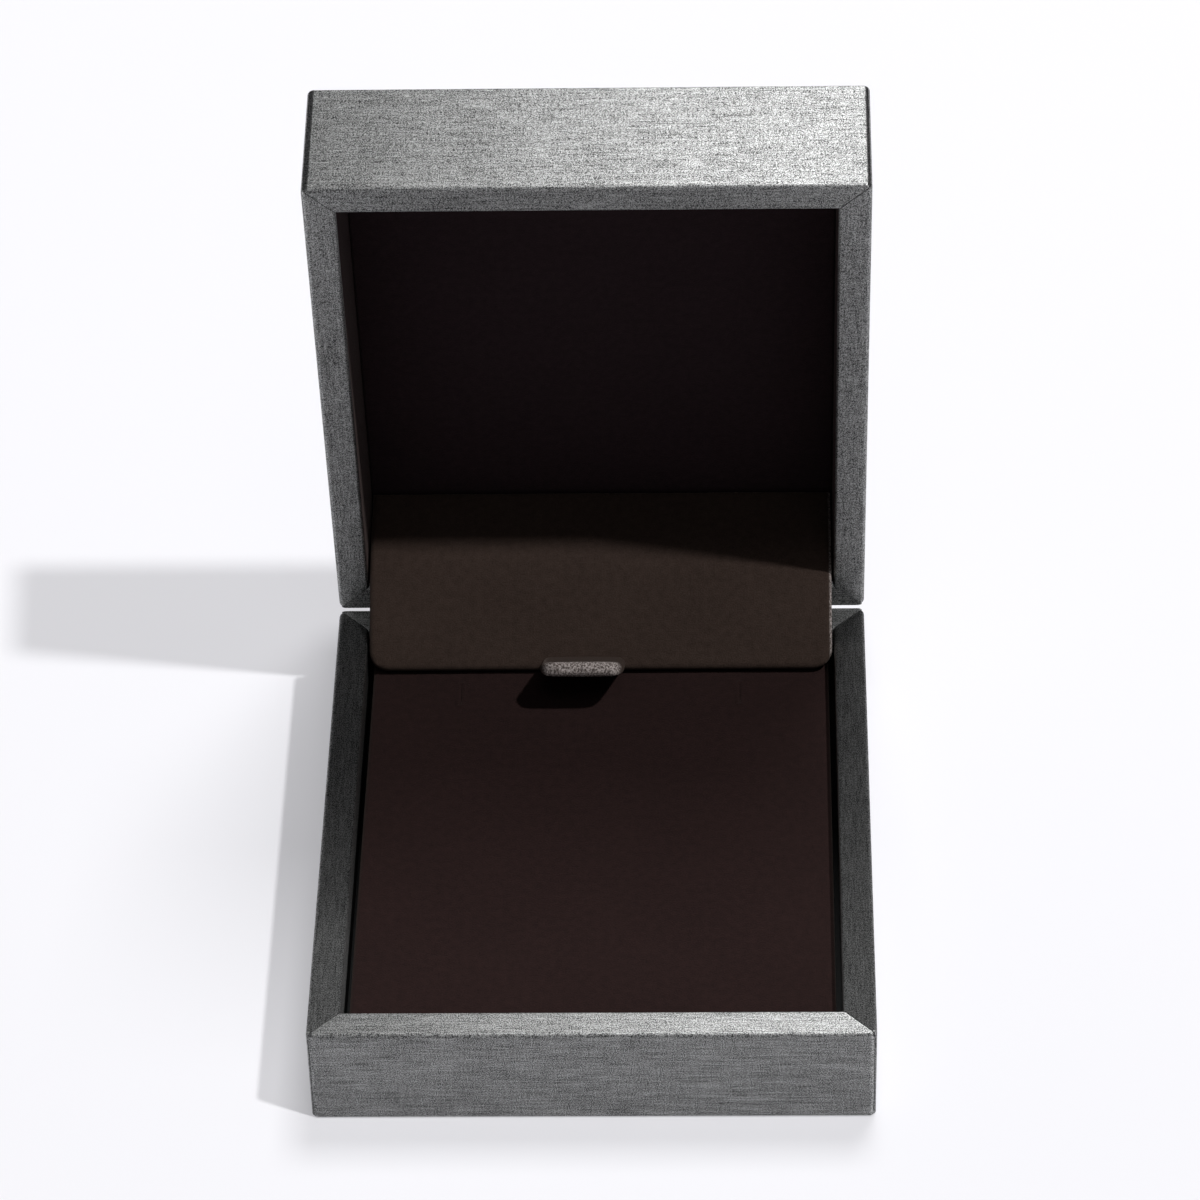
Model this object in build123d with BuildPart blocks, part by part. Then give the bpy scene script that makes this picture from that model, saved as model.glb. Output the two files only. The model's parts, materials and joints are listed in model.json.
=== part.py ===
from build123d import *
import math
import os

# A hinged necklace gift box, standing open. Lengths are in millimetres, angles in degrees.
# The origin is the centre of the bottom face, +Z is up and the front is towards -Y.

# Overall sizes
box_width = 80.0
box_depth = 90.0
base_height = 16.7
lid_height = 20.3
open_angle = 82.0
seam_gap = 0.4

# Moulded cores and the leatherette that covers them
core_wall = 3.65
core_floor = 2.0
core_roof = 2.0
wrap_thickness = 0.5
bottom_sheet_thickness = 0.6
top_sheet_thickness = 0.5
wrap_foot_gap = 0.3
corner_radius = 1.0
rim_outer_radius = 0.6
rim_back_radius = 0.2
rim_inner_radius = 0.4
top_edge_radius = 0.4
mitre_gap = 0.12
base_turn_in = 5.0
lid_turn_in = 1.0

# Necklace pad in the base
pad_recess = 3.0
pad_side_gap = 0.9
pad_velvet_thickness = 0.8
pad_foam_thickness = 1.5
pad_board_thickness = 1.5
pad_edge_radius = 0.6
slit_spacing = 42.0
slit_length = 4.5
slit_width = 0.6
slit_from_hinge = 15.9
riser_inset = 3.0
riser_wall = 1.2

# Lining of the lid
panel_card_thickness = 1.0
panel_velvet_thickness = 0.8
panel_side_gap = 0.1

# Spring hinge
hinge_length = 50.0
knuckle_count = 5
knuckle_gap = 0.3
barrel_radius = 1.3
barrel_clearance = 0.25
pin_radius = 0.6
pin_clearance = 0.05
leaf_thickness = 0.6
leaf_start = 1.6
leaf_end = 9.0
rivet_spacing = 18.0
rivet_count = 3
rivet_depth = 6.0
rivet_radius = 0.8
rivet_head_radius = 1.3
rivet_length = 3.0
spring_width = 12.0
spring_thickness = 0.4
spring_start = 1.3
spring_end = 9.6
fit_clearance = 0.05

# Velvet flap over the hinge, and its pull tab
flap_side_gap = 0.35
flap_thickness = 1.7
flap_card_thickness = 0.9
flap_card_inset = 1.0
flap_root_from_hinge = 8.2
flap_running_gap = 0.35
knee_behind_hinge = 2.0
knee_height = 8.8
flap_front_length = 16.4
flap_pad_gap = 0.4
flap_corner_radius = 3.0
glue_strip_width = 2.0
glue_strip_thickness = 1.3
glue_strip_inset = 1.0
tab_width = 12.5
tab_length = 13.0
tab_thickness = 2.2
tab_angle = 37.0
tab_offset = -2.5
tab_corner_radius = 3.0

# Levels shared by the pieces. Each shell is drawn in its own frame, which starts on the hinge
# pin: x runs across the box, y from the hinge to the front edge, z from the rim inwards.
rim_width = core_wall + 2 * wrap_thickness
rim_level = seam_gap / 2
core_level = rim_level + wrap_thickness
cavity_width = box_width - 2 * rim_width
cavity_depth = box_depth - 2 * rim_width
pivot_y = box_depth / 2
pivot_z = base_height + rim_level
base_sheet_level = rim_level + base_height - bottom_sheet_thickness
floor_level = base_sheet_level - core_floor
top_sheet_level = rim_level + lid_height - top_sheet_thickness
roof_level = top_sheet_level - core_roof
panel_card_level = roof_level - panel_card_thickness
panel_face_level = panel_card_level - panel_velvet_thickness
pad_width = cavity_width - 2 * pad_side_gap
pad_depth = cavity_depth - 2 * pad_side_gap
pad_face_level = rim_level + pad_recess
foam_level = pad_face_level + pad_velvet_thickness
board_level = foam_level + pad_foam_thickness
riser_level = board_level + pad_board_thickness
notch_radius = barrel_radius + barrel_clearance
flap_width = cavity_width - 2 * flap_side_gap

lean = math.radians(open_angle)
base_frame = Plane(origin=(0, pivot_y, pivot_z), x_dir=(1, 0, 0), z_dir=(0, 0, -1))
lid_frame = Plane(
    origin=(0, pivot_y, pivot_z),
    x_dir=(-1, 0, 0),
    z_dir=(0, math.sin(lean), math.cos(lean)),
)


def across(start_x):
    """Plane across the box through the pin: its x is world Y and its y is world Z."""
    return Plane(origin=(start_x, pivot_y, pivot_z), x_dir=(0, 1, 0), z_dir=(1, 0, 0))


def back_plane(frame, depth):
    """Plane inside a shell's back wall, facing out: its y is the shell's depth."""
    return Plane(
        origin=frame.origin + frame.y_dir * depth,
        x_dir=frame.x_dir,
        z_dir=frame.y_dir * -1,
    )


def rivet_spots():
    """Places of the rivets on a back plane."""
    first = -rivet_spacing * (rivet_count - 1) / 2
    return [(first + rivet_spacing * index, rivet_depth) for index in range(rivet_count)]


def core_tray(frame, outer_level, inner_level):
    """Moulded tray under the leatherette, with the pocket for the hinge leaf in its back wall."""
    with BuildPart() as tray:
        with BuildSketch(frame.offset(core_level)):
            with Locations((0, box_depth / 2)):
                RectangleRounded(
                    box_width - 2 * wrap_thickness,
                    box_depth - 2 * wrap_thickness,
                    corner_radius - wrap_thickness,
                )
        extrude(amount=outer_level - core_level)
        with BuildSketch(frame.offset(core_level)):
            with Locations((0, box_depth / 2)):
                Rectangle(cavity_width + 2 * wrap_thickness, cavity_depth + 2 * wrap_thickness)
        extrude(amount=inner_level - core_level, mode=Mode.SUBTRACT)
        with BuildSketch(frame.offset(core_level)):
            with Locations((0, wrap_thickness + leaf_thickness / 2)):
                Rectangle(hinge_length + 2 * fit_clearance, leaf_thickness)
        extrude(amount=leaf_end + fit_clearance - core_level, mode=Mode.SUBTRACT)
        with BuildSketch(across(-hinge_length / 2 - knuckle_gap)):
            Circle(notch_radius)
        extrude(amount=hinge_length + 2 * knuckle_gap, mode=Mode.SUBTRACT)
        with Locations(back_plane(frame, wrap_thickness)):
            with Locations(*rivet_spots()):
                Hole(rivet_radius + fit_clearance, rivet_length + fit_clearance)
    return tray.part


def rim_face(shell, frame):
    """Face of a shell that looks out of its rim."""
    return shell.faces().sort_by(Axis(frame.origin, frame.z_dir))[0]


def wrap_belt(frame, foot_level, turn_in, outer_radius):
    """Leatherette over all four walls of a shell: outside, over the rim and turned in."""
    with BuildPart() as belt:
        with BuildSketch(frame.offset(rim_level)):
            with Locations((0, box_depth / 2)):
                RectangleRounded(box_width, box_depth, corner_radius)
                Rectangle(cavity_width, cavity_depth, mode=Mode.SUBTRACT)
        extrude(amount=foot_level - rim_level)
        fillet(rim_face(belt, frame).outer_wire().edges(), outer_radius)
        fillet(rim_face(belt, frame).inner_wires()[0].edges(), rim_inner_radius)
        with BuildSketch(frame.offset(core_level)):
            with Locations((0, box_depth / 2)):
                RectangleRounded(
                    box_width - 2 * wrap_thickness,
                    box_depth - 2 * wrap_thickness,
                    corner_radius - wrap_thickness,
                )
                Rectangle(
                    cavity_width + 2 * wrap_thickness,
                    cavity_depth + 2 * wrap_thickness,
                    mode=Mode.SUBTRACT,
                )
        extrude(amount=foot_level - core_level, mode=Mode.SUBTRACT)
        with BuildSketch(frame.offset(rim_level + turn_in)):
            with Locations((0, box_depth / 2)):
                Rectangle(cavity_width + 4 * wrap_thickness, cavity_depth + 4 * wrap_thickness)
        extrude(amount=foot_level - rim_level - turn_in, mode=Mode.SUBTRACT)
        with BuildSketch(across(-hinge_length / 2 - knuckle_gap)):
            Circle(notch_radius)
        extrude(amount=hinge_length + 2 * knuckle_gap, mode=Mode.SUBTRACT)
    return belt.part


def rim_radius(side):
    """Rounding of a wall's outer rim edge, which is tighter along the hinge seam."""
    return rim_back_radius if side == "back" else rim_outer_radius


def mitre_sectors(left):
    """Plan areas that share a belt out to its four walls, with mitred corners between them."""
    outer = -corner_radius
    inner = rim_width + corner_radius
    step = mitre_gap / math.sqrt(2)
    half = box_width / 2
    long_outer = box_depth - outer - step
    long_inner = box_depth - inner - step
    front = [
        (outer + step - half, box_depth - outer),
        (half - outer - step, box_depth - outer),
        (half - inner - step, box_depth - inner),
        (inner + step - half, box_depth - inner),
    ]
    side = [
        (half - outer, outer + step),
        (half - outer, long_outer),
        (half - inner, long_inner),
        (half - inner, inner + step),
    ]
    return {
        "front": front,
        "back": [(x, box_depth - y) for x, y in front],
        "left": [(left * x, y) for x, y in side],
        "right": [(-left * x, y) for x, y in side],
    }


def hinge_leaf(frame, own_knuckles):
    """Half of the hinge: a plate inside the back wall and its share of the knuckles."""
    with BuildPart() as leaf:
        with BuildSketch(frame.offset(leaf_start)):
            with Locations((0, wrap_thickness + leaf_thickness / 2)):
                Rectangle(hinge_length, leaf_thickness)
        extrude(amount=leaf_end - leaf_start)
        for centre in own_knuckles:
            with BuildSketch(across(centre - knuckle_length / 2)):
                Circle(barrel_radius)
            extrude(amount=knuckle_length)
            with BuildSketch(frame):
                with Locations((centre, wrap_thickness + leaf_thickness / 2)):
                    Rectangle(knuckle_length, leaf_thickness)
            extrude(amount=leaf_start)
        with BuildSketch(across(-hinge_length / 2)):
            Circle(pin_radius + pin_clearance)
        extrude(amount=hinge_length, mode=Mode.SUBTRACT)
        with Locations(back_plane(frame, wrap_thickness)):
            with Locations(*rivet_spots()):
                CounterSinkHole(
                    rivet_radius + fit_clearance,
                    rivet_head_radius + fit_clearance,
                    leaf_thickness,
                    90,
                )
    return leaf.part


def leaf_rivets(frame):
    """Countersunk rivets, flush with a hinge leaf and blind in the core."""
    head_depth = rivet_head_radius - rivet_radius
    with BuildPart() as rivets:
        with Locations(back_plane(frame, wrap_thickness)):
            with Locations(*rivet_spots()):
                Cylinder(rivet_radius, rivet_length, align=(Align.CENTER, Align.CENTER, Align.MAX))
                Cone(
                    rivet_radius,
                    rivet_head_radius,
                    head_depth,
                    align=(Align.CENTER, Align.CENTER, Align.MAX),
                )
    return rivets.part


def pad_layer(level, thickness):
    """One layer of the necklace pad, with the two slits that hold the chain."""
    with BuildPart() as layer:
        with BuildSketch(base_frame.offset(level)):
            with Locations((0, box_depth / 2)):
                RectangleRounded(pad_width, pad_depth, pad_edge_radius)
            with Locations((-slit_spacing / 2, slit_from_hinge), (slit_spacing / 2, slit_from_hinge)):
                Rectangle(slit_width, slit_length, mode=Mode.SUBTRACT)
        extrude(amount=thickness)
    return layer.part


def link_angle(start, end):
    """Slope of a flap panel from one crease to the next, seen across the box."""
    return math.degrees(math.atan2(end[1] - start[1], end[0] - start[0]))


def along(start, end, distance):
    """Point on a flap panel, at a distance from its first crease."""
    slope = math.radians(link_angle(start, end))
    return (start[0] + distance * math.cos(slope), start[1] + distance * math.sin(slope))


def lid_point(y, z):
    """Place in the across planes of a point given in the lid's frame."""
    return (
        z * math.sin(lean) - y * math.cos(lean),
        y * math.sin(lean) + z * math.cos(lean),
    )


os.makedirs("parts", exist_ok=True)

knuckle_length = (hinge_length - (knuckle_count - 1) * knuckle_gap) / knuckle_count
knuckle_pitch = knuckle_length + knuckle_gap
knuckle_centres = [(index - (knuckle_count - 1) / 2) * knuckle_pitch for index in range(knuckle_count)]

spring_y = wrap_thickness + leaf_thickness + spring_thickness / 2

# Base: core, leatherette and bottom sheet
with BuildPart() as base_core:
    add(core_tray(base_frame, base_sheet_level, floor_level))
    with BuildSketch(base_frame.offset(core_level)):
        with Locations((0, spring_y)):
            Rectangle(spring_width + 2 * fit_clearance, spring_thickness)
    extrude(amount=spring_end + fit_clearance - core_level, mode=Mode.SUBTRACT)
base_core.part.label = "base_core"
export_step(base_core.part, "parts/base_core.step")

base_foot_level = base_sheet_level + bottom_sheet_thickness - wrap_foot_gap
for side, outline in mitre_sectors(-1).items():
    with BuildPart() as base_wrap:
        add(wrap_belt(base_frame, base_foot_level, base_turn_in, rim_radius(side)))
        with BuildSketch(base_frame):
            Polygon(*outline, align=None)
        extrude(amount=base_height + rim_level, mode=Mode.INTERSECT)
    base_wrap.part.label = f"base_{side}_wrap"
    export_step(base_wrap.part, f"parts/base_{side}_wrap.step")

with BuildPart() as base_bottom_sheet:
    with BuildSketch(base_frame.offset(base_sheet_level)):
        with Locations((0, box_depth / 2)):
            RectangleRounded(
                box_width - 2 * wrap_thickness,
                box_depth - 2 * wrap_thickness,
                corner_radius - wrap_thickness,
            )
    extrude(amount=bottom_sheet_thickness)
base_bottom_sheet.part.label = "base_bottom_sheet"
export_step(base_bottom_sheet.part, "parts/base_bottom_sheet.step")

# Necklace pad: velvet over foam over board, on a card riser
with BuildPart() as pad_velvet:
    add(pad_layer(pad_face_level, pad_velvet_thickness))
    fillet(rim_face(pad_velvet, base_frame).outer_wire().edges(), pad_edge_radius)
pad_velvet.part.label = "pad_velvet"
export_step(pad_velvet.part, "parts/pad_velvet.step")

with BuildPart() as pad_foam:
    add(pad_layer(foam_level, pad_foam_thickness))
pad_foam.part.label = "pad_foam"
export_step(pad_foam.part, "parts/pad_foam.step")

with BuildPart() as pad_board:
    add(pad_layer(board_level, pad_board_thickness))
pad_board.part.label = "pad_board"
export_step(pad_board.part, "parts/pad_board.step")

with BuildPart() as pad_riser:
    with BuildSketch(base_frame.offset(riser_level)):
        with Locations((0, box_depth / 2)):
            Rectangle(pad_width - 2 * riser_inset, pad_depth - 2 * riser_inset)
            Rectangle(
                pad_width - 2 * riser_inset - 2 * riser_wall,
                pad_depth - 2 * riser_inset - 2 * riser_wall,
                mode=Mode.SUBTRACT,
            )
            Rectangle(pad_width - 2 * riser_inset, riser_wall)
    extrude(amount=floor_level - riser_level)
pad_riser.part.label = "pad_riser"
export_step(pad_riser.part, "parts/pad_riser.step")

# Spring hinge: the lid holds the outer and middle knuckles, the base the two between them
with BuildPart() as hinge_base_leaf:
    add(hinge_leaf(base_frame, knuckle_centres[1::2]))
hinge_base_leaf.part.label = "hinge_base_leaf"
export_step(hinge_base_leaf.part, "parts/hinge_base_leaf.step")

with BuildPart() as hinge_lid_leaf:
    add(hinge_leaf(lid_frame, knuckle_centres[0::2]))
hinge_lid_leaf.part.label = "hinge_lid_leaf"
export_step(hinge_lid_leaf.part, "parts/hinge_lid_leaf.step")

with BuildPart() as hinge_pin:
    with BuildSketch(across(-hinge_length / 2)):
        Circle(pin_radius)
    extrude(amount=hinge_length)
hinge_pin.part.label = "hinge_pin"
export_step(hinge_pin.part, "parts/hinge_pin.step")

with BuildPart() as base_hinge_rivets:
    add(leaf_rivets(base_frame))
base_hinge_rivets.part.label = "base_hinge_rivets"
export_step(base_hinge_rivets.part, "parts/base_hinge_rivets.step")

with BuildPart() as lid_hinge_rivets:
    add(leaf_rivets(lid_frame))
lid_hinge_rivets.part.label = "lid_hinge_rivets"
export_step(lid_hinge_rivets.part, "parts/lid_hinge_rivets.step")

with BuildPart() as snap_spring:
    with BuildSketch(base_frame.offset(spring_start)):
        with Locations((0, spring_y)):
            Rectangle(spring_width, spring_thickness)
    extrude(amount=spring_end - spring_start)
    with Locations(back_plane(base_frame, wrap_thickness + leaf_thickness)):
        with Locations((0, rivet_depth)):
            Hole(rivet_radius + fit_clearance, spring_thickness)
snap_spring.part.label = "snap_spring"
export_step(snap_spring.part, "parts/snap_spring.step")

# Lid: core, leatherette and top sheet
with BuildPart() as lid_core:
    add(core_tray(lid_frame, top_sheet_level, roof_level))
lid_core.part.label = "lid_core"
export_step(lid_core.part, "parts/lid_core.step")

for side, outline in mitre_sectors(1).items():
    with BuildPart() as lid_wrap:
        add(wrap_belt(lid_frame, top_sheet_level, lid_turn_in, rim_radius(side)))
        with BuildSketch(lid_frame):
            Polygon(*outline, align=None)
        extrude(amount=lid_height + rim_level, mode=Mode.INTERSECT)
    lid_wrap.part.label = f"lid_{side}_wrap"
    export_step(lid_wrap.part, f"parts/lid_{side}_wrap.step")

with BuildPart() as lid_top_sheet:
    with BuildSketch(lid_frame.offset(top_sheet_level)):
        with Locations((0, box_depth / 2)):
            RectangleRounded(box_width, box_depth, corner_radius)
    extrude(amount=top_sheet_thickness)
    fillet(lid_top_sheet.edges().group_by(Axis(lid_frame.origin, lid_frame.z_dir))[-1], top_edge_radius)
lid_top_sheet.part.label = "lid_top_sheet"
export_step(lid_top_sheet.part, "parts/lid_top_sheet.step")

# Lining of the lid: velvet panel on card, and a velvet strip round the walls
for panel_name, level, thickness in (
    ("lid_panel_card", panel_card_level, panel_card_thickness),
    ("lid_panel_velvet", panel_face_level, panel_velvet_thickness),
):
    with BuildPart() as panel:
        with BuildSketch(lid_frame.offset(level)):
            with Locations((0, box_depth / 2)):
                Rectangle(cavity_width - 2 * panel_side_gap, cavity_depth - 2 * panel_side_gap)
        extrude(amount=thickness)
    panel.part.label = panel_name
    export_step(panel.part, f"parts/{panel_name}.step")

with BuildPart() as lid_liner:
    with BuildSketch(lid_frame.offset(rim_level + lid_turn_in)):
        with Locations((0, box_depth / 2)):
            Rectangle(cavity_width + 2 * wrap_thickness, cavity_depth + 2 * wrap_thickness)
            Rectangle(cavity_width, cavity_depth, mode=Mode.SUBTRACT)
    extrude(amount=roof_level - rim_level - lid_turn_in)
lid_liner.part.label = "lid_liner"
export_step(lid_liner.part, "parts/lid_liner.step")

# Flap over the hinge. It folds at two creases: its root under the lid's panel, and its knee.
half_flap = flap_thickness / 2
root_level = panel_face_level - flap_running_gap - half_flap
root = lid_point(flap_root_from_hinge, root_level)
knee = (knee_behind_hinge, knee_height)
edge_height = flap_pad_gap + half_flap - pad_face_level
edge_drop = knee_height - edge_height
edge_reach = math.sqrt(flap_front_length**2 - edge_drop**2)
front_edge = (knee_behind_hinge - edge_reach, edge_height)
rear_length = math.dist(root, knee) - half_flap - flap_running_gap
card_width = flap_width - 2 * flap_card_inset
card_end = flap_front_length - flap_thickness

with BuildPart() as flap_glue_strip:
    with BuildSketch(lid_frame.offset(panel_face_level - glue_strip_thickness)):
        strip_edge = flap_root_from_hinge - half_flap - flap_running_gap
        with Locations((0, strip_edge - glue_strip_width / 2)):
            Rectangle(flap_width - 2 * glue_strip_inset, glue_strip_width)
    extrude(amount=glue_strip_thickness)
flap_glue_strip.part.label = "flap_glue_strip"
export_step(flap_glue_strip.part, "parts/flap_glue_strip.step")

with BuildPart() as flap_rear_card:
    with BuildSketch(across(-card_width / 2)):
        with Locations(along(root, knee, rear_length / 2)):
            Rectangle(rear_length, flap_card_thickness, rotation=link_angle(root, knee))
    extrude(amount=card_width)
flap_rear_card.part.label = "flap_rear_card"
export_step(flap_rear_card.part, "parts/flap_rear_card.step")

with BuildPart() as flap_rear_velvet:
    with BuildSketch(across(-flap_width / 2)):
        with Locations(root):
            Circle(half_flap)
        with Locations(along(root, knee, rear_length / 2)):
            Rectangle(rear_length, flap_thickness, rotation=link_angle(root, knee))
            Rectangle(
                rear_length,
                flap_card_thickness,
                rotation=link_angle(root, knee),
                mode=Mode.SUBTRACT,
            )
    extrude(amount=flap_width)
flap_rear_velvet.part.label = "flap_rear_velvet"
export_step(flap_rear_velvet.part, "parts/flap_rear_velvet.step")

with BuildPart() as flap_front_card:
    with BuildSketch(across(-card_width / 2)):
        with Locations(along(knee, front_edge, card_end / 2)):
            Rectangle(card_end, flap_card_thickness, rotation=link_angle(knee, front_edge))
    extrude(amount=card_width)
flap_front_card.part.label = "flap_front_card"
export_step(flap_front_card.part, "parts/flap_front_card.step")

tilt = math.radians(tab_angle)
tab_plane = Plane(
    origin=(tab_offset, pivot_y + front_edge[0], pivot_z + front_edge[1]),
    x_dir=(1, 0, 0),
    z_dir=(0, -math.sin(tilt), -math.cos(tilt)),
)
with BuildPart() as pull_tab:
    with BuildSketch(tab_plane.offset(-tab_thickness / 2)) as tab_outline:
        with Locations((0, tab_length / 2)):
            Rectangle(tab_width, tab_length)
        fillet(tab_outline.vertices().group_by(Axis.Y)[-1], tab_corner_radius)
    extrude(amount=tab_thickness)
pull_tab.part.label = "pull_tab"
export_step(pull_tab.part, "parts/pull_tab.step")

slope = math.radians(link_angle(knee, front_edge))
front_plane = Plane(
    origin=(0, pivot_y + knee[0], pivot_z + knee[1]),
    x_dir=(1, 0, 0),
    z_dir=(0, -math.sin(slope), math.cos(slope)),
)
with BuildPart() as flap_front_velvet:
    with BuildSketch(across(-flap_width / 2)):
        with Locations(knee, front_edge):
            Circle(half_flap)
        with Locations(along(knee, front_edge, flap_front_length / 2)):
            Rectangle(flap_front_length, flap_thickness, rotation=link_angle(knee, front_edge))
        with Locations(along(knee, front_edge, card_end / 2)):
            Rectangle(
                card_end,
                flap_card_thickness,
                rotation=link_angle(knee, front_edge),
                mode=Mode.SUBTRACT,
            )
    extrude(amount=flap_width)
    with BuildSketch(front_plane.offset(-flap_thickness)) as flap_outline:
        with Locations((0, flap_front_length / 2)):
            Rectangle(flap_width, flap_front_length + flap_thickness)
        fillet(flap_outline.vertices().group_by(Axis.Y)[-1], flap_corner_radius)
    extrude(amount=2 * flap_thickness, mode=Mode.INTERSECT)
    add(pull_tab.part, mode=Mode.SUBTRACT)
flap_front_velvet.part.label = "flap_front_velvet"
export_step(flap_front_velvet.part, "parts/flap_front_velvet.step")
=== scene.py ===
import bpy
import json
import math
from mathutils import Matrix, Vector, noise


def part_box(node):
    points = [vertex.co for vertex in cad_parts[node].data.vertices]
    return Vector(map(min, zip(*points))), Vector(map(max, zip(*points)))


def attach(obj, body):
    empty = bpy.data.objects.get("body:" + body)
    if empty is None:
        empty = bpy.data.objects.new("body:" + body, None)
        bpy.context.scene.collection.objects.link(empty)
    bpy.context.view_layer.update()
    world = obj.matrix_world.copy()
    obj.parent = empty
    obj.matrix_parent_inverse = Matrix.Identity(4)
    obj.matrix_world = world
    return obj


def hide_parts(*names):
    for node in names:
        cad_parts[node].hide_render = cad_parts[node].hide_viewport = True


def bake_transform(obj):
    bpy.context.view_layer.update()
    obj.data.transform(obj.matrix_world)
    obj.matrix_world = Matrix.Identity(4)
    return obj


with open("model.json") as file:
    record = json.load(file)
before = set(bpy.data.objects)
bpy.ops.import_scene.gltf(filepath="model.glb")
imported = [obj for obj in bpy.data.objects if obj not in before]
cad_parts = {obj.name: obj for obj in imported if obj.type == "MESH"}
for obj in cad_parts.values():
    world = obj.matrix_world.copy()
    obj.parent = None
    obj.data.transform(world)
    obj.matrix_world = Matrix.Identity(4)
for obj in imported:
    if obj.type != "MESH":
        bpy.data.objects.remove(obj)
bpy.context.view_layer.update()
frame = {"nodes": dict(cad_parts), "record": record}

# All sizes are in metres and all angles in degrees unless a comment says otherwise.
MM = 0.001

# Camera, at the photograph's viewing angle, with its sensor and lens in millimetres
CAMERA_PLACE = (0.02166, -0.55736, 0.54864)
CAMERA_PITCH = 41.33
CAMERA_YAW = -2.077
CAMERA_ROLL = -1.699
SENSOR_WIDTH = 36.0
LENS = 158.09
NEAREST_SEEN = 0.01

# Shells, as the CAD has them
RIM_WIDTH = 4.65 * MM
BOX_DEPTH = 90.0 * MM
LID_PANEL_LEVEL = 16.2 * MM
LID_PANEL_THICKNESS = 0.8 * MM
LINER_START = 1.25 * MM
LINER_END = 18.0 * MM
LINER_THICKNESS = 0.5 * MM
PANEL_SIDE_GAP = 0.1 * MM

# Pad, and the two slits in it, whose lips rise beside them and fade out over a few lip widths
PAD_EDGE = 0.75 * MM
PAD_CORNER = 1.0 * MM
PAD_CROWN = 0.22 * MM
PAD_CROWN_POWER = 4
SLIT_X = 21.0 * MM
SLIT_FROM_HINGE = 15.9 * MM
SLIT_LENGTH = 4.5 * MM
SLIT_HALF_WIDTH = 0.06 * MM
SLIT_LIP = 0.18 * MM
SLIT_LIP_SPAN = 3
SLIT_DEPTH = 0.2 * MM
SLIT_LIP_RISE = 0.22 * MM

# Flap, whose fold at the knee reaches this far to each side, and pull tab
FLAP_THICKNESS = 1.7 * MM
FLAP_CORNER = 3.0 * MM
FLAP_STATION_STEP = 0.1 * MM
KNEE_REACH = 4.0 * MM
TAB_LENGTH = 13.0 * MM
TAB_ANGLE = 37.0
TAB_THICKNESS = 2.2 * MM
TAB_CORNER = 3.0 * MM
TAB_CURL = 2.0
TAB_THINNING = 0.12
TAB_THINNING_POWER = 3

# Glued strip at the flap's root, and the tape that turns from it towards the flap: their
# places along the lid's panel from the hinge, and how far the tape reaches in from the panel
STRIP_WIDTH = 68.0 * MM
STRIP_START = 5.0 * MM
STRIP_END = 7.0 * MM
STRIP_THICKNESS = 1.3 * MM
STRIP_EDGE = 0.4 * MM
TAPE_THICKNESS = 0.4 * MM
TAPE_START = 5.4 * MM
TAPE_TURN = 7.0 * MM
TAPE_END = 7.25 * MM
TAPE_REACH = 4.2 * MM

# Unevenness of the cloth: the size of its waves, their height, and a seed
PAD_RIPPLE = (11 * MM, 0.05 * MM, 3.1)
FLAP_RIPPLE = (14 * MM, 0.06 * MM, 8.7)
FLAP_FINE_RIPPLE = (3.5 * MM, 0.03 * MM, 2.3)
PANEL_RIPPLE = (16 * MM, 0.05 * MM, 5.3)

# Grids of the soft pieces, with shares of an edge's radius where lines follow its rounding
GRID_STEP = 1.5 * MM
FLAP_GRID_STEP = 1.0 * MM
FINE_GRID_STEP = 0.7 * MM
LEAST_LINE_GAP = 0.02 * MM
WELD_DISTANCE = 0.004 * MM
EDGE_SHARES = (0.0, 0.06, 0.2, 0.42, 0.7, 1.0)

# Leatherette, whose noise is counted per metre and drawn out along the grain
LEATHER_DARK = (0.044, 0.045, 0.045)
LEATHER_LIGHT = (0.52, 0.525, 0.52)
LEATHER_MIDDLE_SHARE = 0.44
LEATHER_METALLIC = 0.95
LEATHER_ANISOTROPY = 0.92
QUARTER_TURN = 0.25
STROKE_SCALE = 4300
STROKE_ALONG_SHARE = 0.055
THREAD_SCALE = 4000
THREAD_ACROSS_SHARE = 0.12
SPECKLE_SCALE = 6400
CLOUD_SCALE = 110

# Velvet, with a dark and a light tone for each piece; the tab's end has paler cut fibres with a painted
# highlight on them, and the flap's lit right edge has a painted highlight only
TUFT_SCALE = 4200
PILE_SCALE = 900
PATCH_SCALE = 75
FIBRES_AND_PAINTED_HIGHLIGHT_SCALE = 3600
CUT_FIBRES_AND_PAINTED_HIGHLIGHT = (0.44, 0.39, 0.37)
PAD_TONES = (0.0078, 0.0036, 0.0034), (0.0225, 0.0108, 0.0100)
FLAP_TONES = (0.0200, 0.0125, 0.0095), (0.0520, 0.0350, 0.0280)
LINING_TONES = (0.0120, 0.0066, 0.0080), (0.0300, 0.0170, 0.0200)
# Painted highlight along the flap's right edge, where the key catches it: where it begins and where it is
# full
FLAP_PAINTED_HIGHLIGHT_BEGINS = 0.45 * MM
FLAP_PAINTED_HIGHLIGHT_FULL = 0.15 * MM
# Paler cut fibres with a painted highlight at the tab's end: where they begin and where they are full
TAB_FIBRES_AND_HIGHLIGHT_BEGINS = 1.9 * MM
TAB_FIBRES_AND_HIGHLIGHT_FULL = 0.8 * MM

# Relief of the surfaces: its strength and its height
FINE_RELIEF = (0.2, 0.05 * MM)
VELVET_RELIEF = (0.6, 0.12 * MM)

# Floor
FLOOR_HALF = 3.0
FLOOR_COLOUR = (0.50, 0.497, 0.515)
FLOOR_GLOW_COLOUR = (0.965, 0.96, 1.0)
FLOOR_GLOW = 0.38

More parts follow.
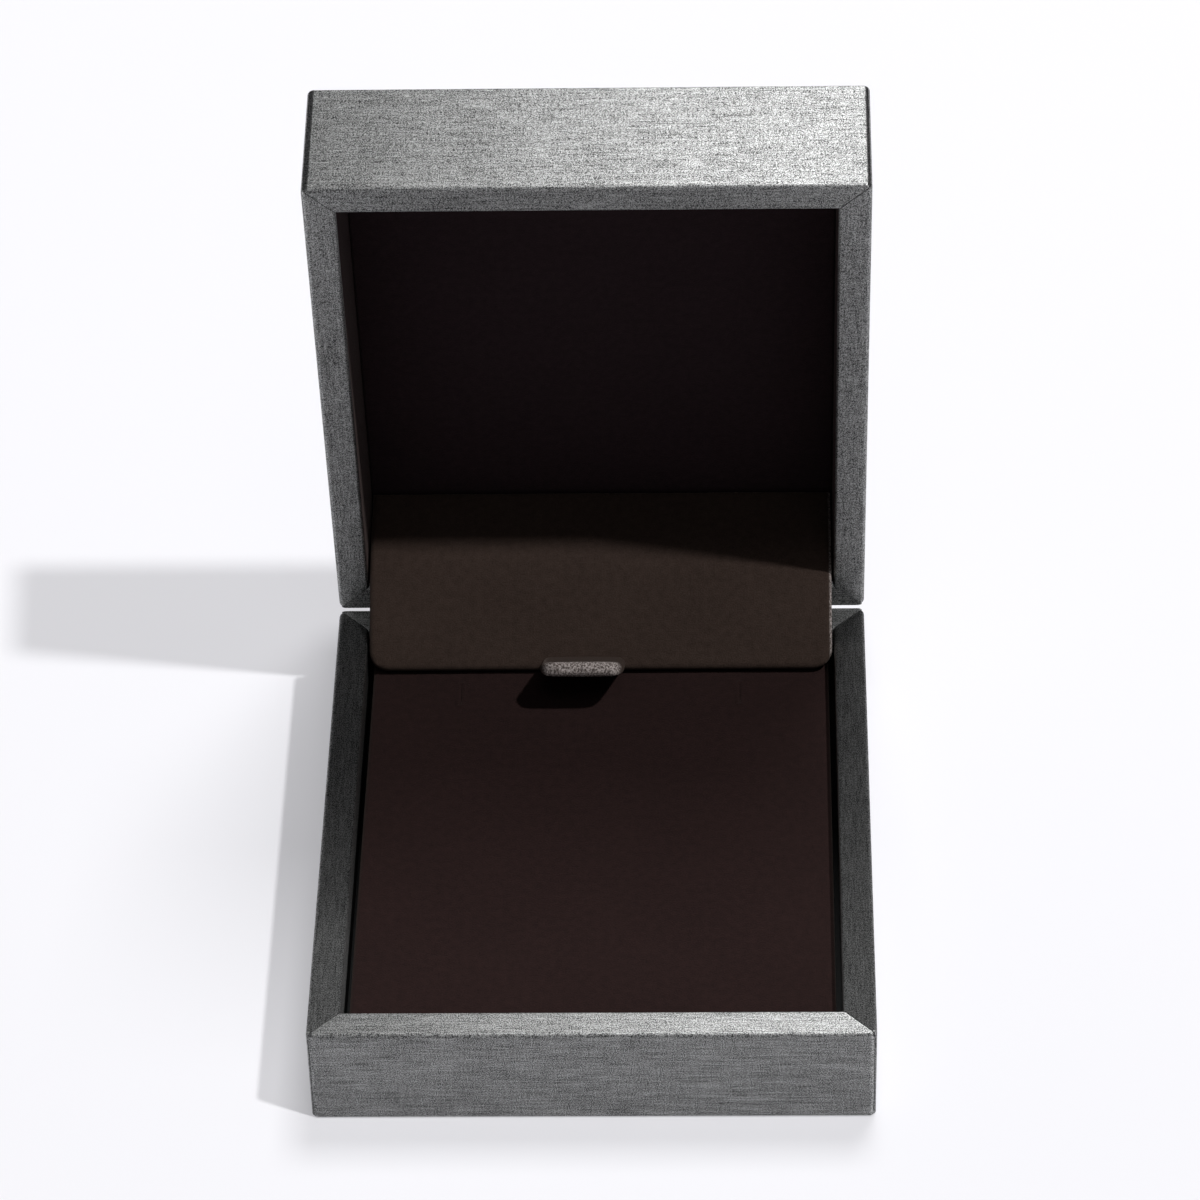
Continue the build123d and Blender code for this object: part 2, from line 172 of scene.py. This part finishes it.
# Lamps: a key, and two softboxes that stand this far from the box
KEY_DIRECTION = (0.44, -0.18, 0.88)
KEY_ENERGY = 2.1
KEY_ANGLE = 2.6
SOFTBOX_DISTANCE = 1.25
SOFTBOX_DIRECTION = (0.12, 0.37, 0.92)
SOFTBOX_SIZE = (0.40, 0.42)
SOFTBOX_RADIANCE = 16.0
FILL_DIRECTION = (0.06, -0.45, 0.89)
FILL_SIZE = (0.40, 0.36)
FILL_RADIANCE = 2.2

# Room: pale up to the horizon's height and dim from the next one on, on a sphere of radius 1
ROOM_COLOUR = (0.955, 0.95, 1.0)
HORIZON_HEIGHT = 0.10
ROOM_HEIGHT = 0.24
HORIZON_LEVEL = 0.22
ROOM_LEVEL = 0.06

behaviour = frame["record"]["behaviour"]
joints = {joint["name"]: joint for joint in behaviour["joints"]}
hinge = Vector(joints["lid_hinge"]["pos_m"])
lean = math.radians(joints["lid_hinge"]["range_deg"][1])
lid_along = Vector((0, -math.cos(lean), math.sin(lean)))
lid_inward = Vector((0, math.sin(lean), math.cos(lean)))


def lid_point(x, y, z):
    """A point of the lid: x across, y from the hinge to the front edge, z from the rim inwards."""
    return hinge + Vector((x, 0, 0)) + lid_along * y + lid_inward * z


def ripple(x, y, size, height, seed):
    """A gentle unevenness of cloth, the same in every run."""
    return height * noise.noise(Vector((x / size, y / size, seed)))


def edge_lines(length, edge, step, extra):
    """Places of grid lines from 0 to length, close together where the edges are rounded."""
    near = [edge * share for share in EDGE_SHARES]
    count = max(2, round((length - 2 * edge) / step))
    middle = [edge + (length - 2 * edge) * index / count for index in range(1, count)]
    lines = near + middle + [length - place for place in near] + list(extra)
    lines.sort()
    kept = [lines[0]]
    for place in lines[1:]:
        if place - kept[-1] > LEAST_LINE_GAP:
            kept.append(place)
    return kept


def round_corner(across, along, width, length, corner, both_ends):
    """Moves a point of a rectangle into the rectangle with round corners."""
    centre_x = width / 2 - corner
    if corner <= 0 or abs(across) <= centre_x:
        return across, along
    if along > length - corner:
        middle, sign = length - corner, 1
    elif both_ends and along < corner:
        middle, sign = corner, -1
    else:
        return across, along
    u = (abs(across) - centre_x) / corner
    v = sign * (along - middle) / corner
    new_u = u * math.sqrt(1 - v * v / 2)
    new_v = v * math.sqrt(1 - u * u / 2)
    return math.copysign(centre_x + new_u * corner, across), middle + sign * new_v * corner


def edge_drop(inside, edge):
    """How far a rounded edge lowers the face, at a distance inside the outline."""
    if inside >= edge:
        return 0.0
    return edge - math.sqrt(max(0.0, edge * edge - (edge - inside) ** 2))


def plate_faces(columns, rows):
    """Faces of an upper and a lower grid, and of the narrow wall that joins their outlines."""
    layer = columns * rows
    faces = []
    for row in range(rows - 1):
        for column in range(columns - 1):
            first = row * columns + column
            quad = (first, first + 1, first + columns + 1, first + columns)
            faces.append(quad)
            faces.append(tuple(index + layer for index in reversed(quad)))
    ring = list(range(columns))
    ring += [row * columns + columns - 1 for row in range(1, rows)]
    ring += [(rows - 1) * columns + column for column in range(columns - 2, -1, -1)]
    ring += [row * columns for row in range(rows - 2, 0, -1)]
    for first, second in zip(ring, ring[1:] + ring[:1]):
        faces.append((second, first, first + layer, second + layer))
    return faces


def apply_modifiers(piece):
    """Bakes a piece's modifiers into its mesh."""
    depsgraph = bpy.context.evaluated_depsgraph_get()
    mesh = bpy.data.meshes.new_from_object(piece.evaluated_get(depsgraph), depsgraph=depsgraph)
    piece.modifiers.clear()
    piece.data = mesh


def soft_plate(
    name, width, length, thickness, edge, place, corner=0.0, both_ends=True, step=GRID_STEP, extra=((), ()),
):
    """A closed plate with rounded edges, laid out flat and then put in place by a function.

    place takes the distance across from the middle, the distance along, and the height above
    the plate's middle, and gives a point of the box. extra holds grid lines to add, across and
    along. Only the far end has round corners unless both ends do.
    """
    shifted = edge_lines(width, edge, step, [x + width / 2 for x in extra[0]])
    across_lines = [line - width / 2 for line in shifted]
    along_lines = edge_lines(length, edge, step, extra[1])
    points = []
    flats = []
    for side in (1, -1):
        for along in along_lines:
            for across in across_lines:
                flat_u, flat_v = round_corner(across, along, width, length, corner, both_ends)
                inside = min(width / 2 - abs(across), along, length - along)
                height = thickness / 2 - edge_drop(inside, edge)
                points.append(tuple(place(flat_u, flat_v, side * height)))
                flats.append((flat_u, flat_v))
    mesh = bpy.data.meshes.new(name)
    mesh.from_pydata(points, [], plate_faces(len(across_lines), len(along_lines)))
    layout = mesh.uv_layers.new(name="flat")
    for loop in mesh.loops:
        layout.data[loop.index].uv = flats[loop.vertex_index]
    mesh.shade_smooth()
    piece = bpy.data.objects.new(name, mesh)
    bpy.context.scene.collection.objects.link(piece)
    weld = piece.modifiers.new("weld", "WELD")
    weld.merge_threshold = WELD_DISTANCE
    apply_modifiers(piece)
    return piece


def joined(name, parts):
    """One piece made of several closed plates."""
    with bpy.context.temp_override(active_object=parts[0], selected_editable_objects=parts):
        bpy.ops.object.join()
    parts[0].name = name
    return parts[0]


def finish_piece(piece, body, slot_name, material, *nodes):
    """Gives a piece its material, hides its CAD nodes, and gives it its body when one is named; slot_name is
    not used.
    """
    piece.data.materials.clear()
    piece.data.materials.append(material)
    if body is not None:
        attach(piece, body)
    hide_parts(*nodes)
    return piece


def new_material(name):
    """A node material, its nodes, its links and its principled shader."""
    material = bpy.data.materials.new(name)
    material.use_nodes = True
    tree = material.node_tree
    return material, tree.nodes, tree.links, tree.nodes["Principled BSDF"]


def set_inputs(node, values):
    """Constants on a node's own sockets."""
    for socket, value in values.items():
        node.inputs[socket].default_value = value


def noise_field(nodes, links, vector, scale, detail):
    """Noise of a given scale on a vector."""
    texture = nodes.new("ShaderNodeTexNoise")
    set_inputs(texture, {"Scale": scale, "Detail": detail})
    links.new(vector, texture.inputs["Vector"])
    return texture.outputs["Fac"]


def remap(nodes, links, value, low, high, to_low, to_high):
    """Value stretched from one range to another and clamped."""
    stretch = nodes.new("ShaderNodeMapRange")
    set_inputs(stretch, {"From Min": low, "From Max": high, "To Min": to_low, "To Max": to_high})
    links.new(value, stretch.inputs["Value"])
    return stretch.outputs["Result"]


def maths(nodes, links, operation, first, second):
    """Two values combined."""
    node = nodes.new("ShaderNodeMath")
    node.operation = operation
    for socket, value in zip(node.inputs, (first, second)):
        if isinstance(value, (int, float)):
            socket.default_value = value
        else:
            links.new(value, socket)
    return node.outputs["Value"]


def weighted_sum(nodes, links, total, terms):
    """A total with each term added at its own weight."""
    for term, weight in terms:
        total = maths(nodes, links, "ADD", total, maths(nodes, links, "MULTIPLY", term, weight))
    return total


def mixed_colour(nodes, links, share, dark, light):
    """A colour between two, by a share."""
    mix = nodes.new("ShaderNodeMix")
    mix.data_type = "RGBA"
    links.new(share, mix.inputs["Factor"])
    for socket, colour in ((mix.inputs[6], dark), (mix.inputs[7], light)):
        if isinstance(colour, tuple):
            socket.default_value = (*colour, 1)
        else:
            links.new(colour, socket)
    return mix.outputs[2]


def vector_maths(nodes, operation):
    """A node that combines vectors."""
    node = nodes.new("ShaderNodeVectorMath")
    node.operation = operation
    return node


def stretched(nodes, links, position, grain, along_share, across_share):
    """Position with its part along the grain and its part across the grain scaled apart."""
    dot = vector_maths(nodes, "DOT_PRODUCT")
    links.new(position, dot.inputs[0])
    dot.inputs[1].default_value = grain
    pull = vector_maths(nodes, "SCALE")
    pull.inputs[0].default_value = grain
    amount = maths(nodes, links, "MULTIPLY", dot.outputs["Value"], along_share - across_share)
    links.new(amount, pull.inputs["Scale"])
    shrink = vector_maths(nodes, "SCALE")
    shrink.inputs["Scale"].default_value = across_share
    links.new(position, shrink.inputs[0])
    total = vector_maths(nodes, "ADD")
    links.new(pull.outputs["Vector"], total.inputs[0])
    links.new(shrink.outputs["Vector"], total.inputs[1])
    return total.outputs["Vector"]


def add_relief(nodes, links, shader, height, strength, distance):
    """Small relief of a surface, by a height from 0 to 1."""
    bump = nodes.new("ShaderNodeBump")
    set_inputs(bump, {"Strength": strength, "Distance": distance})
    links.new(height, bump.inputs["Height"])
    links.new(bump.outputs["Normal"], shader.inputs["Normal"])


def leatherette(name, grain):
    """Metallic grey leatherette: a fine sparkle, and faint brushed strokes along one direction."""
    material, nodes, links, shader = new_material(name)
    position = nodes.new("ShaderNodeTexCoord").outputs["Object"]
    drawn_out = stretched(nodes, links, position, grain, STROKE_ALONG_SHARE, 1.0)
    strokes = noise_field(nodes, links, drawn_out, STROKE_SCALE, detail=2)
    drawn_across = stretched(nodes, links, position, grain, 1.0, THREAD_ACROSS_SHARE)
    threads = noise_field(nodes, links, drawn_across, THREAD_SCALE, detail=1)
    speckle = noise_field(nodes, links, position, SPECKLE_SCALE, detail=1)
    cloud = noise_field(nodes, links, position, CLOUD_SCALE, detail=2)
    # Each noise has the range of it that counts, what that range becomes, and a weight in the tone.
    tones = (
        (strokes, (0.54, 0.68, 0.0, 1.0), 0.20),
        (strokes, (0.44, 0.32, 0.0, 1.0), -0.20),
        (threads, (0.35, 0.68, -0.5, 0.5), 0.12),
        (speckle, (0.38, 0.63, -0.5, 0.5), 0.80),
        (cloud, (0.3, 0.7, -0.5, 0.5), 0.08),
    )
    terms = [(remap(nodes, links, field, *ranges), weight) for field, ranges, weight in tones]
    share = weighted_sum(nodes, links, LEATHER_MIDDLE_SHARE, terms)
    links.new(mixed_colour(nodes, links, share, LEATHER_DARK, LEATHER_LIGHT), shader.inputs["Base Color"])
    links.new(remap(nodes, links, speckle, 0.34, 0.68, 0.52, 0.38), shader.inputs["Roughness"])
    set_inputs(shader, {
        "Metallic": LEATHER_METALLIC,
        "Anisotropic": LEATHER_ANISOTROPY,
        "Anisotropic Rotation": QUARTER_TURN,
    })
    turn = nodes.new("ShaderNodeVectorTransform")
    turn.vector_type = "VECTOR"
    turn.convert_from = "OBJECT"
    turn.convert_to = "WORLD"
    turn.inputs["Vector"].default_value = grain
    links.new(turn.outputs["Vector"], shader.inputs["Tangent"])
    add_relief(nodes, links, shader, strokes, *FINE_RELIEF)
    return material


def velvet(name, dark, light, fibres_and_highlight_edge=None):
    """Short brown-black pile: fine tufts, brushed patches and a sheen at grazing angles.

    fibres_and_highlight_edge is the axis of the flat layout along which the cloth ends, with the places where
    the paler colour
    begins and where it is full: cut fibres with a painted highlight at the tab's end, only a painted
    highlight at the flap's edge.
    """
    material, nodes, links, shader = new_material(name)
    position = nodes.new("ShaderNodeTexCoord").outputs["UV"]
    tufts = noise_field(nodes, links, position, TUFT_SCALE, detail=3)
    pile = noise_field(nodes, links, position, PILE_SCALE, detail=3)
    patches = noise_field(nodes, links, position, PATCH_SCALE, detail=2)
    share = weighted_sum(nodes, links, 0.0, (
        (remap(nodes, links, tufts, 0.32, 0.7, 0.0, 1.0), 0.45),
        (remap(nodes, links, pile, 0.3, 0.7, 0.0, 1.0), 0.3),
        (patches, 0.3),
    ))
    colour = mixed_colour(nodes, links, share, dark, light)
    # Paler colour towards one edge of the layout: real cut fibres and a painted highlight at the tab's end, a
    # painted highlight alone at the flap's lit edge
    if fibres_and_highlight_edge is not None:
        axis, begins, full = fibres_and_highlight_edge
        layout = nodes.new("ShaderNodeSeparateXYZ")
        links.new(position, layout.inputs["Vector"])
        edge = remap(nodes, links, layout.outputs[axis], begins, full, 0.0, 1.0)
        place = nodes.new("ShaderNodeTexCoord").outputs["Object"]
        fibres_and_highlight_noise = noise_field(nodes, links, place, FIBRES_AND_PAINTED_HIGHLIGHT_SCALE, detail=2)
        fibres_and_highlight_breakup = remap(nodes, links, fibres_and_highlight_noise, 0.40, 0.62, 0.12, 1.0)
        fibres_and_highlight_share = maths(nodes, links, "MULTIPLY", edge, fibres_and_highlight_breakup)
        colour = mixed_colour(nodes, links, fibres_and_highlight_share, colour, CUT_FIBRES_AND_PAINTED_HIGHLIGHT)
    links.new(colour, shader.inputs["Base Color"])
    set_inputs(shader, {
        "Roughness": 0.95,
        "Specular IOR Level": 0.12,
        "Sheen Weight": 0.10,
        "Sheen Roughness": 0.45,
        "Sheen Tint": (0.62, 0.50, 0.44, 1),
    })
    add_relief(nodes, links, shader, share, *VELVET_RELIEF)
    return material


def plain(name, low, high, roughness, scale, metallic=0.0, grain=None):
    """A hidden or small piece: two close tones, a fine relief and an even roughness."""
    material, nodes, links, shader = new_material(name)
    position = nodes.new("ShaderNodeTexCoord").outputs["Object"]
    if grain is not None:
        position = stretched(nodes, links, position, grain, 0.05, 1.0)
    fine = noise_field(nodes, links, position, scale, detail=3)
    links.new(mixed_colour(nodes, links, fine, low, high), shader.inputs["Base Color"])
    set_inputs(shader, {"Roughness": roughness, "Metallic": metallic})
    add_relief(nodes, links, shader, fine, *FINE_RELIEF)
    return material


# Materials of leatherette, with the grain along the strip that each wraps
across_leather = leatherette("leatherette_across", (1, 0, 0))
base_side_leather = leatherette("leatherette_base_sides", (0, 1, 0))
lid_side_leather = leatherette("leatherette_lid_sides", tuple(lid_along))

# Materials of velvet
flap_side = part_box("flap_front_velvet")[1][0]
# The flap's right edge, which the key lights, gets a painted highlight
flap_painted_highlight = ("X", flap_side - FLAP_PAINTED_HIGHLIGHT_BEGINS, flap_side - FLAP_PAINTED_HIGHLIGHT_FULL)
# The tab's end gets paler cut fibres and a painted highlight
tab_fibres_and_highlight = ("Y", TAB_LENGTH - TAB_FIBRES_AND_HIGHLIGHT_BEGINS, TAB_LENGTH - TAB_FIBRES_AND_HIGHLIGHT_FULL)
pad_pile = velvet("velvet_pad", *PAD_TONES)
flap_pile = velvet("velvet_flap", *FLAP_TONES, flap_painted_highlight)
tab_pile = velvet("velvet_tab", *FLAP_TONES, tab_fibres_and_highlight)
lining_pile = velvet("velvet_lining", *LINING_TONES)

# Materials of the other CAD nodes, by slot
by_slot = {
    "core_plastic": plain(
        "core_moulding", (0.018, 0.018, 0.019), (0.030, 0.030, 0.031), roughness=0.6, scale=1800,
    ),
    "card": plain("grey_board", (0.24, 0.20, 0.16), (0.38, 0.33, 0.27), roughness=0.9, scale=2500),
    "foam": plain("foam_skin", (0.02, 0.02, 0.02), (0.05, 0.05, 0.05), roughness=0.95, scale=2200),
    "hinge_steel": plain(
        "hinge_metal", (0.42, 0.42, 0.43), (0.60, 0.60, 0.61),
        roughness=0.32, scale=3000, metallic=1.0, grain=(1, 0, 0),
    ),
    "velvet": lining_pile,
}
slot_of = {entry["node"]: entry["material_slot"] for entry in frame["record"]["subparts"]}


def leather_of(node):
    """Leatherette whose grain runs along the strip that a node is cut from."""
    if "left" in node or "right" in node:
        return lid_side_leather if node.startswith("lid") else base_side_leather
    return across_leather


for node, piece in frame["nodes"].items():
    material = leather_of(node) if slot_of[node] == "leatherette" else by_slot[slot_of[node]]
    if not piece.material_slots:
        piece.data.materials.append(material)
    for material_slot in piece.material_slots:
        material_slot.material = material


def pad():
    """Velvet drawn over foam: a slightly crowned pad with two slits for the chain."""
    velvet_low, velvet_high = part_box("pad_velvet")
    foam_low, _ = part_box("pad_foam")
    width = velvet_high[0] - velvet_low[0]
    length = velvet_high[1] - velvet_low[1]
    thickness = velvet_high[2] - foam_low[2]
    middle = (velvet_high[2] + foam_low[2]) / 2
    slit_y = hinge.y - SLIT_FROM_HINGE

    def slit(x, y):
        """Height that the slits and their raised lips add at a point."""
        beside = (abs(abs(x) - SLIT_X) - SLIT_HALF_WIDTH) / SLIT_LIP
        beyond = (abs(y - slit_y) - SLIT_LENGTH / 2) / SLIT_LIP
        away = max(0.0, beside, beyond)
        if away < 1:
            return (SLIT_DEPTH + SLIT_LIP_RISE) * away - SLIT_DEPTH
        return SLIT_LIP_RISE * max(0.0, (SLIT_LIP_SPAN - away) / (SLIT_LIP_SPAN - 1))

    def place(u, v, w):
        x, y = u, velvet_low[1] + v
        height = w
        if w > 0:
            crown = (1 - (2 * u / width) ** PAD_CROWN_POWER) * (1 - (2 * v / length - 1) ** PAD_CROWN_POWER)
            height += PAD_CROWN * (crown - 1) + ripple(x, y, *PAD_RIPPLE)
            height += slit(x, y)
        return Vector((x, y, middle + height))

    sides = (-1, 1)
    lip_counts = (0, 1, SLIT_LIP_SPAN)
    lips = [side * (SLIT_HALF_WIDTH + SLIT_LIP * count) for side in sides for count in lip_counts]
    slit_columns = [side * SLIT_X + lip for side in sides for lip in lips]
    slit_middle = slit_y - velvet_low[1]
    ends = [side * (SLIT_LENGTH / 2 + SLIT_LIP * count) for side in sides for count in lip_counts]
    slit_rows = [slit_middle + end for end in ends]
    piece = soft_plate(
        "pad_cover", width, length, thickness, PAD_EDGE, place, PAD_CORNER, extra=(slit_columns, slit_rows),
    )
    finish_piece(piece, "base", "velvet", pad_pile, "pad_velvet", "pad_foam")


# Flap's panels, as its joints and its front edge set them
root = Vector(joints["flap_follow"]["pos_m"])
knee = Vector(joints["flap_lift"]["pos_m"])
front_low, front_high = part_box("flap_front_velvet")
half_flap = FLAP_THICKNESS / 2
front_edge = Vector((0, front_low[1] + half_flap, front_low[2] + half_flap))
rear_slope = math.atan2(knee.z - root.z, knee.y - root.y) % (2 * math.pi)
front_slope = math.atan2(front_edge.z - knee.z, front_edge.y - knee.y) % (2 * math.pi)


def ahead_at(slope):
    """Direction along the flap or the tab where it has a slope."""
    return Vector((0, math.cos(slope), math.sin(slope)))


def outward_at(slope):
    """Direction out of the upper face of the flap or the tab where it has a slope."""
    return Vector((0, math.sin(slope), -math.cos(slope)))


def flap():
    """Velvet flap in one sheet over both card panels, folded softly at the knee."""
    width = front_high[0] - front_low[0]
    rear = (knee - root).length
    length = rear + (front_edge - knee).length + 2 * half_flap
    step = FLAP_STATION_STEP
    centre = [root - ahead_at(rear_slope) * half_flap]
    slopes = []
    for index in range(int(length / step) + 2):
        share = (index * step - half_flap - rear + KNEE_REACH) / (2 * KNEE_REACH)
        share = min(1.0, max(0.0, share))
        slope = rear_slope + (front_slope - rear_slope) * share * share * (3 - 2 * share)
        slopes.append(slope)
        centre.append(centre[-1] + ahead_at(slope) * step)

    def place(u, v, w):
        index = min(int(v / step), len(slopes) - 2)
        share = v / step - index
        spot = centre[index].lerp(centre[index + 1], share)
        lift = w
        if w > 0:
            lift += ripple(u, v, *FLAP_RIPPLE) + ripple(u, v, *FLAP_FINE_RIPPLE)
        return spot + outward_at(slopes[index]) * lift + Vector((u, 0, 0))

    piece = soft_plate(
        "flap_cover", width, length, FLAP_THICKNESS, half_flap, place, FLAP_CORNER,
        both_ends=False, step=FLAP_GRID_STEP,
    )
    finish_piece(
        piece, None, "velvet", flap_pile,
        "flap_rear_velvet", "flap_rear_card", "flap_front_velvet", "flap_front_card",
    )
    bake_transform(piece)


def pull_tab():
    """Velvet tab that stands up from the flap's front edge, curled a little."""
    tab_low, tab_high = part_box("pull_tab")
    width = tab_high[0] - tab_low[0]
    middle_x = (tab_high[0] + tab_low[0]) / 2

    def place(u, v, w):
        slope = math.radians(180 - TAB_ANGLE - TAB_CURL * (v / TAB_LENGTH - 0.5))
        fullness = 1 - TAB_THINNING * abs(2 * u / width) ** TAB_THINNING_POWER
        across = front_edge + Vector((middle_x + u, 0, 0))
        return across + ahead_at(slope) * v + outward_at(slope) * w * fullness

    piece = soft_plate(
        "tab_cover", width, TAB_LENGTH, TAB_THICKNESS, TAB_THICKNESS / 2, place, TAB_CORNER,
        both_ends=False, step=FINE_GRID_STEP,
    )
    finish_piece(piece, "flap", "velvet", tab_pile, "pull_tab")


def lid_lining():
    """Velvet inside the lid: a panel over card, and a strip round the four walls."""
    inner_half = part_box("lid_panel_velvet")[1][0]
    panel_length = BOX_DEPTH - 2 * RIM_WIDTH - 2 * PANEL_SIDE_GAP
    panel_start = RIM_WIDTH + PANEL_SIDE_GAP

    def panel_place(u, v, w):
        soft = ripple(u, v, *PANEL_RIPPLE) if w > 0 else 0.0
        return lid_point(u, panel_start + v, LID_PANEL_LEVEL + LID_PANEL_THICKNESS / 2 - w + soft)

    panel = soft_plate(
        "lid_panel_cover", 2 * inner_half, panel_length, LID_PANEL_THICKNESS, LID_PANEL_THICKNESS / 2,
        panel_place,
    )
    finish_piece(panel, "lid", "velvet", lining_pile, "lid_panel_velvet")

    wall_half = inner_half + PANEL_SIDE_GAP
    depth = LINER_END - LINER_START
    middle = LINER_THICKNESS / 2
    near, far = RIM_WIDTH, BOX_DEPTH - RIM_WIDTH
    centre = (near + far) / 2
    places = {
        "left": lambda u, v, w: lid_point(-wall_half - middle + w, centre + u, LINER_START + v),
        "right": lambda u, v, w: lid_point(wall_half + middle - w, centre - u, LINER_START + v),
        "back": lambda u, v, w: lid_point(-u, near - middle + w, LINER_START + v),
        "front": lambda u, v, w: lid_point(u, far + middle - w, LINER_START + v),
    }
    spans = {"left": far - near, "right": far - near, "back": 2 * wall_half, "front": 2 * wall_half}
    walls = [
        soft_plate(f"lining_{side}", spans[side], depth, LINER_THICKNESS, middle, place)
        for side, place in places.items()
    ]
    finish_piece(joined("lid_wall_lining", walls), "lid", "velvet", lining_pile, "lid_liner")


def flap_root():
    """Glued strip on the lid's panel, and the tape that joins it to the flap."""
    strip_level = LID_PANEL_LEVEL - STRIP_THICKNESS / 2

    def strip_place(u, v, w):
        return lid_point(u, STRIP_START + v, strip_level - w)

    strip = soft_plate(
        "root_strip", STRIP_WIDTH, STRIP_END - STRIP_START, STRIP_THICKNESS, STRIP_EDGE, strip_place,
    )
    finish_piece(strip, "lid", "velvet", lining_pile, "flap_glue_strip")

    turn = lid_point(0, TAPE_TURN, LID_PANEL_LEVEL - STRIP_THICKNESS - TAPE_THICKNESS)
    start = lid_point(0, TAPE_START, LID_PANEL_LEVEL - STRIP_THICKNESS - TAPE_THICKNESS / 2)
    end = lid_point(0, TAPE_END, LID_PANEL_LEVEL - TAPE_REACH)
    first, second = (turn - start), (end - turn)
    length = first.length + second.length

    def tape_place(u, v, w):
        share = v / length
        spot = start * (1 - share) ** 2 + turn * 2 * share * (1 - share) + end * share ** 2
        ahead = (first * (1 - share) + second * share).normalized()
        outward = Vector((0, ahead.z, -ahead.y))
        return spot + outward * w + Vector((u, 0, 0))

    tape = soft_plate(
        "root_tape", STRIP_WIDTH, length, TAPE_THICKNESS, TAPE_THICKNESS / 2, tape_place, step=FINE_GRID_STEP,
    )
    finish_piece(tape, None, "velvet", lining_pile, "flap_glue_strip")
    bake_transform(tape)


def camera():
    """Camera at the photograph's angle."""
    pitch, yaw, roll = (math.radians(angle) for angle in (CAMERA_PITCH, CAMERA_YAW, CAMERA_ROLL))
    forward = Vector((math.sin(yaw) * math.cos(pitch), math.cos(yaw) * math.cos(pitch), -math.sin(pitch)))
    level = Vector((math.cos(yaw), -math.sin(yaw), 0))
    upright = level.cross(forward)
    right = level * math.cos(roll) + upright * math.sin(roll)
    up = upright * math.cos(roll) - level * math.sin(roll)
    data = bpy.data.cameras.new("camera")
    data.sensor_fit = "HORIZONTAL"
    data.sensor_width = SENSOR_WIDTH
    data.lens = LENS
    data.clip_start = NEAREST_SEEN
    piece = bpy.data.objects.new("camera", data)
    rows = [(right[axis], up[axis], -forward[axis]) for axis in range(3)]
    piece.matrix_world = Matrix.Translation(CAMERA_PLACE) @ Matrix(rows).to_4x4()
    bpy.context.scene.collection.objects.link(piece)
    bpy.context.scene.camera = piece


def floor():
    """Plain pale floor, which camera and mirror rays see lit a little more than it is."""
    half = FLOOR_HALF
    corners = [(-half, -half, 0), (half, -half, 0), (half, half, 0), (-half, half, 0)]
    mesh = bpy.data.meshes.new("floor")
    mesh.from_pydata(corners, [], [(0, 1, 2, 3)])
    piece = bpy.data.objects.new("floor", mesh)
    bpy.context.scene.collection.objects.link(piece)
    material, nodes, links, shader = new_material("floor")
    set_inputs(shader, {
        "Base Color": (*FLOOR_COLOUR, 1),
        "Roughness": 0.9,
        "Specular IOR Level": 0.0,
        "Emission Color": (*FLOOR_GLOW_COLOUR, 1),
    })
    rays = nodes.new("ShaderNodeLightPath")
    seen = maths(nodes, links, "ADD", rays.outputs["Is Camera Ray"], rays.outputs["Is Glossy Ray"])
    links.new(maths(nodes, links, "MULTIPLY", seen, FLOOR_GLOW), shader.inputs["Emission Strength"])
    material.cycles.emission_sampling = "NONE"
    mesh.materials.append(material)


def lamp(name, kind, direction, distance=0.0):
    """A lamp that shines on the box from a direction."""
    data = bpy.data.lights.new(name, kind)
    piece = bpy.data.objects.new(name, data)
    piece.location = Vector(direction).normalized() * distance
    x, y, z = Vector(direction).normalized()
    piece.rotation_euler = (-math.asin(y), math.atan2(x, z), 0)
    bpy.context.scene.collection.objects.link(piece)
    return data


def area_lamp(name, direction, size, radiance):
    """A softbox of a size and a radiance."""
    data = lamp(name, "AREA", direction, SOFTBOX_DISTANCE)
    data.shape = "RECTANGLE"
    data.size, data.size_y = size
    data.energy = math.pi * radiance * data.size * data.size_y


def lights():
    """A key from the upper right, a softbox above the lid, a weak one in front, and a dim room."""
    key = lamp("key", "SUN", KEY_DIRECTION)
    key.energy = KEY_ENERGY
    key.angle = math.radians(KEY_ANGLE)
    area_lamp("softbox", SOFTBOX_DIRECTION, SOFTBOX_SIZE, SOFTBOX_RADIANCE)
    area_lamp("fill", FILL_DIRECTION, FILL_SIZE, FILL_RADIANCE)
    world = bpy.data.worlds.new("room")
    bpy.context.scene.world = world
    world.use_nodes = True
    nodes, links = world.node_tree.nodes, world.node_tree.links
    direction = nodes.new("ShaderNodeSeparateXYZ")
    links.new(nodes.new("ShaderNodeTexCoord").outputs["Generated"], direction.inputs["Vector"])
    background = nodes["Background"]
    background.inputs["Color"].default_value = (*ROOM_COLOUR, 1)
    ranges = (HORIZON_HEIGHT, ROOM_HEIGHT, HORIZON_LEVEL, ROOM_LEVEL)
    links.new(remap(nodes, links, direction.outputs["Z"], *ranges), background.inputs["Strength"])


pad()
flap()
pull_tab()
lid_lining()
flap_root()
camera()
floor()
lights()

bpy.context.scene.view_settings.view_transform = "Standard"
